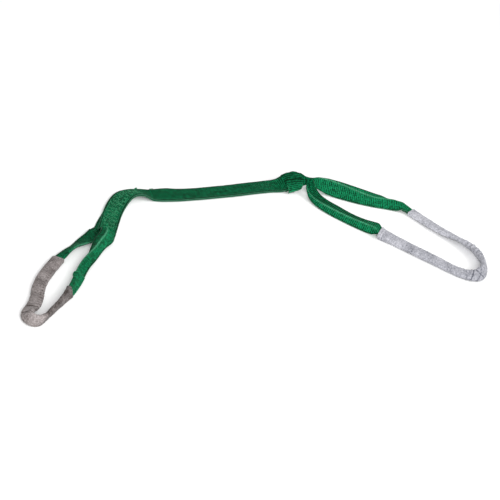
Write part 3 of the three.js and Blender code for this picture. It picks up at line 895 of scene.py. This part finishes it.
class Sleeve:
    """A fabric tube round one eye, with its wrinkles."""

    def __init__(self, loop, seed, gathers, grooves, tone):
        self.route, self.loop, self.seed = loop.route, loop, seed
        self.gathers, self.grooves, self.tone = gathers, grooves, tone

    def groove(self, s, p):
        """Depth share of the sharp creases that run slanting across the tube."""
        depth = 0
        for centre, slope in self.grooves:
            depth = depth + np.exp(-(((s[:, None] - self.loop.length_at(centre) - slope * p) / 2.0) ** 2))
        return depth

    def crease(self, s, f, p, q):
        """Height of the wrinkles in millimetres: soft waves, and gathers on the inside of each bend."""
        heading = f["heading"]
        turn = np.gradient(np.unwrap(np.arctan2(heading[:, 1], heading[:, 0])), s)
        bend = np.clip(np.abs(turn) * 60, 0, 1)[:, None]
        side = p * np.cos(f["tilt"])[:, None] - q * np.sin(f["tilt"])[:, None]
        inside = np.clip(-side / SLEEVE_HALF_HEIGHT, 0, 1) ** 1.2
        wave = ripples(s[:, None], p * 0.6 + q, self.seed, 46)
        fine = ripples(s[:, None], (p + 2 * q) * 0.35, self.seed + 1, 13)
        gather = np.zeros_like(wave)
        for centre, spread, size, pitch in self.gathers:
            near = np.exp(-(((s - self.loop.length_at(centre)) / spread) ** 2))[:, None]
            phase = 2 * math.pi * s[:, None] / pitch + 1.3 * ripples(s[:, None], p, self.seed + 2, 40)
            gather += size * near * inside * np.sin(phase)
        return 0.5 * wave + (0.34 + 0.6 * bend * inside) * fine + gather - 1.3 * self.groove(s, p)

    def tube(self, name, t_from, t_to, spacing, grow, wall, count=56):
        """A stretch of the tube between two row numbers. grow is how much wider it is along its length."""
        s0, s1 = self.loop.length_at(t_from), self.loop.length_at(t_to)
        s = np.linspace(s0, s1, max(4, int((s1 - s0) / spacing) + 1))
        f = self.route.at(self.loop.number(s))
        p, q = (x[None, :] for x in outline(SLEEVE_HALF_WIDTH, SLEEVE_HALF_HEIGHT, count))
        crease = self.crease(s, f, p, q)
        swell = np.array([grow(x) for x in (s - s0) / (s1 - s0)])[:, None]
        p_out, q_out = outward(p, q, SLEEVE_HALF_WIDTH, SLEEVE_HALF_HEIGHT)
        out = np.clip(crease, *CREASE_LIMITS) + swell
        outer = above(on_sleeve(f, p + p_out * out, q + q_out * out))
        out = out - wall
        inner = above(on_sleeve(f, p + p_out * out, q + q_out * out), SLEEVE_INNER_GAP)
        points = np.concatenate([outer, inner[::-1]], axis=0)
        length = running_length(p[0], q[0])
        # The tone is darkened along the grooves: painted shade in the creases.
        shade = np.interp(self.loop.number(s), *self.tone)[:, None] - 0.45 * self.groove(s, p)
        return make_mesh(name, points, tube_faces(len(s), count), {
            "along": there_and_back(s[:, None]) * MM, "around": length[None, :] * MM,
            "crease": there_and_back(crease), "tone": there_and_back(shade),
        })

    def on_surface(self, s, offset, up):
        """Points over the tube's upper face, offset millimetres across its long side."""
        f = self.route.at(self.loop.number(s))
        p = np.asarray(offset, float)[:, None]
        q = SLEEVE_HALF_HEIGHT * (1 - np.abs(p / SLEEVE_HALF_WIDTH) ** 4) ** 0.25
        order = np.argsort(s, kind="stable")
        crease = np.zeros((len(s), 1))
        g = {k: v[order] for k, v in f.items()}
        steps = np.maximum.accumulate(s[order] + np.arange(len(s)) * 1e-7)
        crease[order] = self.crease(steps, g, p[order], q[order])
        lifted = np.clip(crease, *CREASE_LIMITS) + np.asarray(up)[:, None]
        return on_sleeve(f, p, q + lifted)[:, 0]


# Gathers are (row number, length they cover, height, pitch) and grooves are (row number, slant). The last
# argument says how light the cloth is: row numbers, and the tone at each
left_sleeve = Sleeve(
    left_loop, 11,
    [(12.0, 60, 0.5, 12.5), (15, 30, 0.7, 9), (21, 60, 1.3, 13)],
    [(17.6, 0.5), (19.2, -0.2)],
    ([10, 12, 14, 16, 18, 20, 25], [0.12, 0.08, 0.22, 0.5, 0.42, 0.36, 0.34]),
)
right_sleeve = Sleeve(
    right_loop, 31,
    [(17.3, 42, 2.0, 17), (20.3, 26, 1.6, 13), (27, 30, 0.3, 13)],
    [(21.0, 0.9), (21.0, -0.9), (21.9, 0.3)],
    ([11, 14, 17, 20, 22, 29], [0.62, 0.58, 0.48, 0.36, 0.4, 0.48]),
)
# A hem is this long and lies this far from the tube's end, in row numbers; its wall is in millimetres
HEM_LENGTH, HEM_GAP = 0.172, 0.004
HEM_WALL = 1.5
# How far the closing seam lies from the middle of the tube's upper face
SEAM_OFFSET = 11.2
# Length over which a flared mouth widens
FLARE_LENGTH = 28


def hem_bulge(x):
    return 0.55 * math.sin(math.pi * min(max(x, 0), 1)) ** 0.6


def add_sleeve(side, sleeve, span, cloth, thread, flare):
    t0, t1 = span
    s0, s1 = sleeve.loop.length_at(t0), sleeve.loop.length_at(t1)
    body = f"{side}_eye"

    def swell(x):
        return flare * math.exp(-(((1 - x) * (s1 - s0) / FLARE_LENGTH) ** 2))

    tube = sleeve.tube(f"{side}_sleeve_cloth", t0, t1, 1.6, swell, SLEEVE_WALL)
    finish_piece(tube, cloth, body, [f"{side}_wear_sleeve"])
    for which, low, high, wider in (
        ("first", t0 - HEM_LENGTH, t0 - HEM_GAP, 0),
        ("second", t1 + HEM_GAP, t1 + HEM_LENGTH, flare),
    ):
        hem = sleeve.tube(
            f"{side}_{which}_hem_cloth", low, high, 0.5, lambda x: wider + hem_bulge(x), HEM_WALL)
        finish_piece(hem, cloth, body, [f"{side}_sleeve_{which}_hem"])
    row = row_of_stitches(s0 + 2, s1, SEAM_OFFSET, 4.4, 3.4)
    seam = stitches(f"{side}_sleeve_seam_stitches", row, SLEEVE_STITCH, -0.1, sleeve.on_surface)
    finish_piece(seam, thread, body, [f"{side}_sleeve_seam"])


add_sleeve("left", left_sleeve, LEFT_SLEEVE_ROWS, left_cloth, left_thread, 0.0)
add_sleeve("right", right_sleeve, RIGHT_SLEEVE_ROWS, right_cloth, right_thread, 3.4)


# ---------------- lining inside the folded eyes
# Distance of the strip's two edges from the webbing's edge, and of its two faces from the webbing's middle
LINING_EDGES = (3, 14)
LINING_FACES = (-2.4, -3.0)
LINING_COLUMNS, LINING_ROW = 9, 2.0
# The cut end lies between these rows of the left eye and these shares of the webbing's width
CUT_END_ROWS = (7.55, 10.1)
CUT_END_SHARES = (0.32, 0.995)


def add_lining(side, loop, span):
    s0, s1 = loop.length_at(span[0]), loop.length_at(span[1])
    s = np.arange(s0, s1, LINING_ROW)
    ring = there_and_back(np.linspace(*LINING_EDGES, LINING_COLUMNS))
    face = np.repeat(LINING_FACES, LINING_COLUMNS)
    points = loop_points(s, ring / WEB_WIDTH, face)[0]
    piece = make_mesh(f"{side}_eye_lining_strip", points, strip_faces(*points.shape[:2], turned=True), {
        "along": s[:, None] * MM, "across": (ring[None, :] + 15) * MM, "ridge": 0, "rib": 0.5, "tone": 0.6,
    })
    finish_piece(piece, green_webbing, f"{side}_eye", [f"{side}_eye_lining"])


def add_lining_end():
    """The lining comes out of the left sleeve's mouth and ends in a cut edge with one lifted corner."""
    s0, s1 = (left_loop.length_at(row) for row in CUT_END_ROWS)
    s = np.linspace(s0, s1, int((s1 - s0) / ROW) + 1)
    u = np.linspace(*CUT_END_SHARES, 34)
    ring = there_and_back(u)
    from_cut = (s - s0)[:, None]
    ribs = ribs_at(s[:, None])
    corner_lift = 5.5 * np.exp(-(((ring[None, :] - 0.34) / 0.1) ** 2)) * np.exp(-from_cut / 5)
    low = 1.75 + 0.9 * np.exp(-from_cut / 12) + corner_lift
    upper = np.arange(len(ring)) < len(u)
    face = low + np.where(upper[None, :], 1.5 - 0.4 * (1 - ribs), 0.0)
    points = loop_points(s, ring, face)[0]
    piece = make_mesh("left_eye_lining_cut_end", points, strip_faces(*points.shape[:2]), {
        "along": s[:, None] * MM, "across": ring[None, :] * WEB_WIDTH * MM,
        "ridge": np.exp(-((from_cut / 1.6) ** 2)), "rib": ribs, "tone": 0.16,
    })
    finish_piece(piece, green_webbing, "left_eye")


add_lining_end()
add_lining("left", left_loop, (10, 25))
add_lining("right", right_loop, (11, 29))


# ---------------- wrap round the right throat
WRAP_FROM, WRAP_TO = 17.6, 19.62
WRAP_THICKNESS = 1.8
# Gap between the body and the wrap's inner face, and the half width and height its outer face swells round
WRAP_GAP = 1.2
WRAP_HALF_WIDTH, WRAP_HALF_HEIGHT = 28.0, 6.3
# Positions across the body: the cut end's tip and its root, where it starts to droop, and where it sinks into
# the wrap, over this length
CUT_TIP, CUT_ROOT = -37.0, -11.0
DROOP_FROM = -27.5
SINK_FROM, SINK_LENGTH = -13.5, 2.5
# Width that its selvedges and fray are drawn for
CUT_WIDTH = 40


def wrap_ring(count, grow):
    grow += WRAP_GAP
    return outline(WEB_WIDTH / 2 + grow, STACK_HALF + grow, count, 0.55, 0.62)


def add_wrap():
    """The band round the throat. Returns its flat width."""
    count, rows = 150, 40
    f = body_route.at(np.linspace(WRAP_FROM, WRAP_TO, rows))
    s = running_length(*f["place"].T)
    p, q = wrap_ring(count, WRAP_THICKNESS)
    around = running_length(p, q)
    width = (s / s[-1])[:, None]
    edge = np.minimum(width, 1 - width) * s[-1]
    thick = np.interp(edge, EDGE, EDGE_HALF) / WEB_HALF
    ribs = ribs_at(around[None, :])
    bulge = 1.8 * np.sin(math.pi * width) + 1.2 * ripples(s[:, None] * 2, around[None, :], 71, 34)
    out = bulge - 0.35 * (1 - ribs) * (edge > 2.5) - (1 - thick) * 0.9
    p_out, q_out = outward(p, q, WRAP_HALF_WIDTH, WRAP_HALF_HEIGHT)
    outer = on_sleeve(f, p[None, :] + p_out * out, q[None, :] + q_out * out)
    inner = on_sleeve(f, *(np.broadcast_to(x[None, :], (rows, count)) for x in wrap_ring(count, 0.0)))
    points = above(np.concatenate([outer, inner[::-1]], axis=0))
    across = np.clip(width * WEB_WIDTH, SELVEDGE, WEB_WIDTH - SELVEDGE)
    piece = make_mesh("right_throat_wrap_webbing", points, tube_faces(rows, count), {
        "along": around[None, :] * MM, "across": there_and_back(across) * MM,
        "ridge": 0, "rib": ribs, "tone": 0,
    })
    finish_piece(piece, green_webbing, "middle_right", ["right_throat_wrap"])
    return s[-1]


def add_cut_end(wrap_width):
    """The wrap's square cut end, which lies on the wrap and stands out past the body's near edge."""
    rows, columns = 33, 30
    f = body_route.at(np.linspace(WRAP_FROM + 0.16, WRAP_TO - 0.12, rows))
    p = np.linspace(CUT_TIP, CUT_ROOT, columns)
    droop = np.where(p < DROOP_FROM, -0.075 * (p - DROOP_FROM) ** 2, 0)
    low = STACK_HALF + WRAP_GAP + WRAP_THICKNESS + 1.3
    width = np.linspace(0, 1, rows)[:, None]
    ribs = ribs_at(p[None, :] - CUT_TIP)
    sunk = 1.2 * np.clip((p[None, :] - SINK_FROM) / SINK_LENGTH, 0, 1)
    wobble = 0.35 * np.sin(width * 9 + 1) * np.clip((-30 - p[None, :]) / 6, 0, 1)
    edge = np.minimum(width, 1 - width) * CUT_WIDTH
    half = 0.5 * WRAP_THICKNESS * np.interp(edge, EDGE, EDGE_HALF) / WEB_HALF
    fray = 0.8 * ripples(width * CUT_WIDTH, 0, 5, 5, 7)
    grow = np.broadcast_to(p[None, :], (rows, columns)).copy()
    grow[:, 0] += fray[:, 0]
    up = on_sleeve(f, grow, droop[None, :] + wobble + low + half - 0.3 * (1 - ribs) - sunk)
    down = on_sleeve(f, grow, droop[None, :] + wobble + low - half - sunk)
    points = above(np.concatenate([up, down[:, ::-1]], axis=1))
    lengths = there_and_back(p)[None, :]
    piece = make_mesh("right_wrap_cut_webbing", points, strip_faces(rows, 2 * columns, turned=True), {
        "along": lengths * MM, "across": width * WEB_WIDTH * MM,
        "ridge": np.exp(-(((lengths - CUT_TIP) / 1.5) ** 2)),
        "rib": np.concatenate([ribs, ribs[:, ::-1]], axis=1), "tone": 0.14,
    })
    finish_piece(piece, green_webbing, "middle_right", ["right_wrap_cut_end"])


add_cut_end(add_wrap())


# ---------------- floor, light
FLOOR_HALF = 30
FLOOR_DROP = 0.0005
FLOOR_COLOR = (0.93, 0.93, 0.93, 1)
FLOOR_ROUGHNESS = 0.95
WORLD_LIGHT = 0.7


def add_floor():
    h = FLOOR_HALF
    mesh = bpy.data.meshes.new("floor")
    mesh.from_pydata([(-h, -h, 0), (h, -h, 0), (h, h, 0), (-h, h, 0)], [], [(0, 1, 2, 3)])
    floor = bpy.data.objects.new("floor", mesh)
    floor.location.z = -FLOOR_DROP
    bpy.context.scene.collection.objects.link(floor)
    mesh.materials.append(Nodes("floor_paper").finish(FLOOR_COLOR, FLOOR_ROUGHNESS, None, 0.0))


def add_area(name, location, size, power):
    """A round lamp that points at the middle of the model. Sizes are in metres and watts."""
    data = bpy.data.lights.new(name, "AREA")
    data.shape = "DISK"
    data.size = size
    data.energy = power
    lamp = bpy.data.objects.new(name, data)
    lamp.location = location
    lamp.rotation_euler = Vector(location).to_track_quat("Z", "Y").to_euler()
    bpy.context.scene.collection.objects.link(lamp)


add_floor()
world = bpy.data.worlds.new("studio")
world.use_nodes = True
sky = world.node_tree.nodes["Background"].inputs
sky["Color"].default_value = (1, 1, 1, 1)
sky["Strength"].default_value = WORLD_LIGHT
bpy.context.scene.world = world
add_area("key", (-2.6, -3.6, 2.6), 2.8, 225)
add_area("fill", (3.2, -2.2, 3.2), 3.0, 90)
bpy.context.scene.view_settings.view_transform = "Standard"
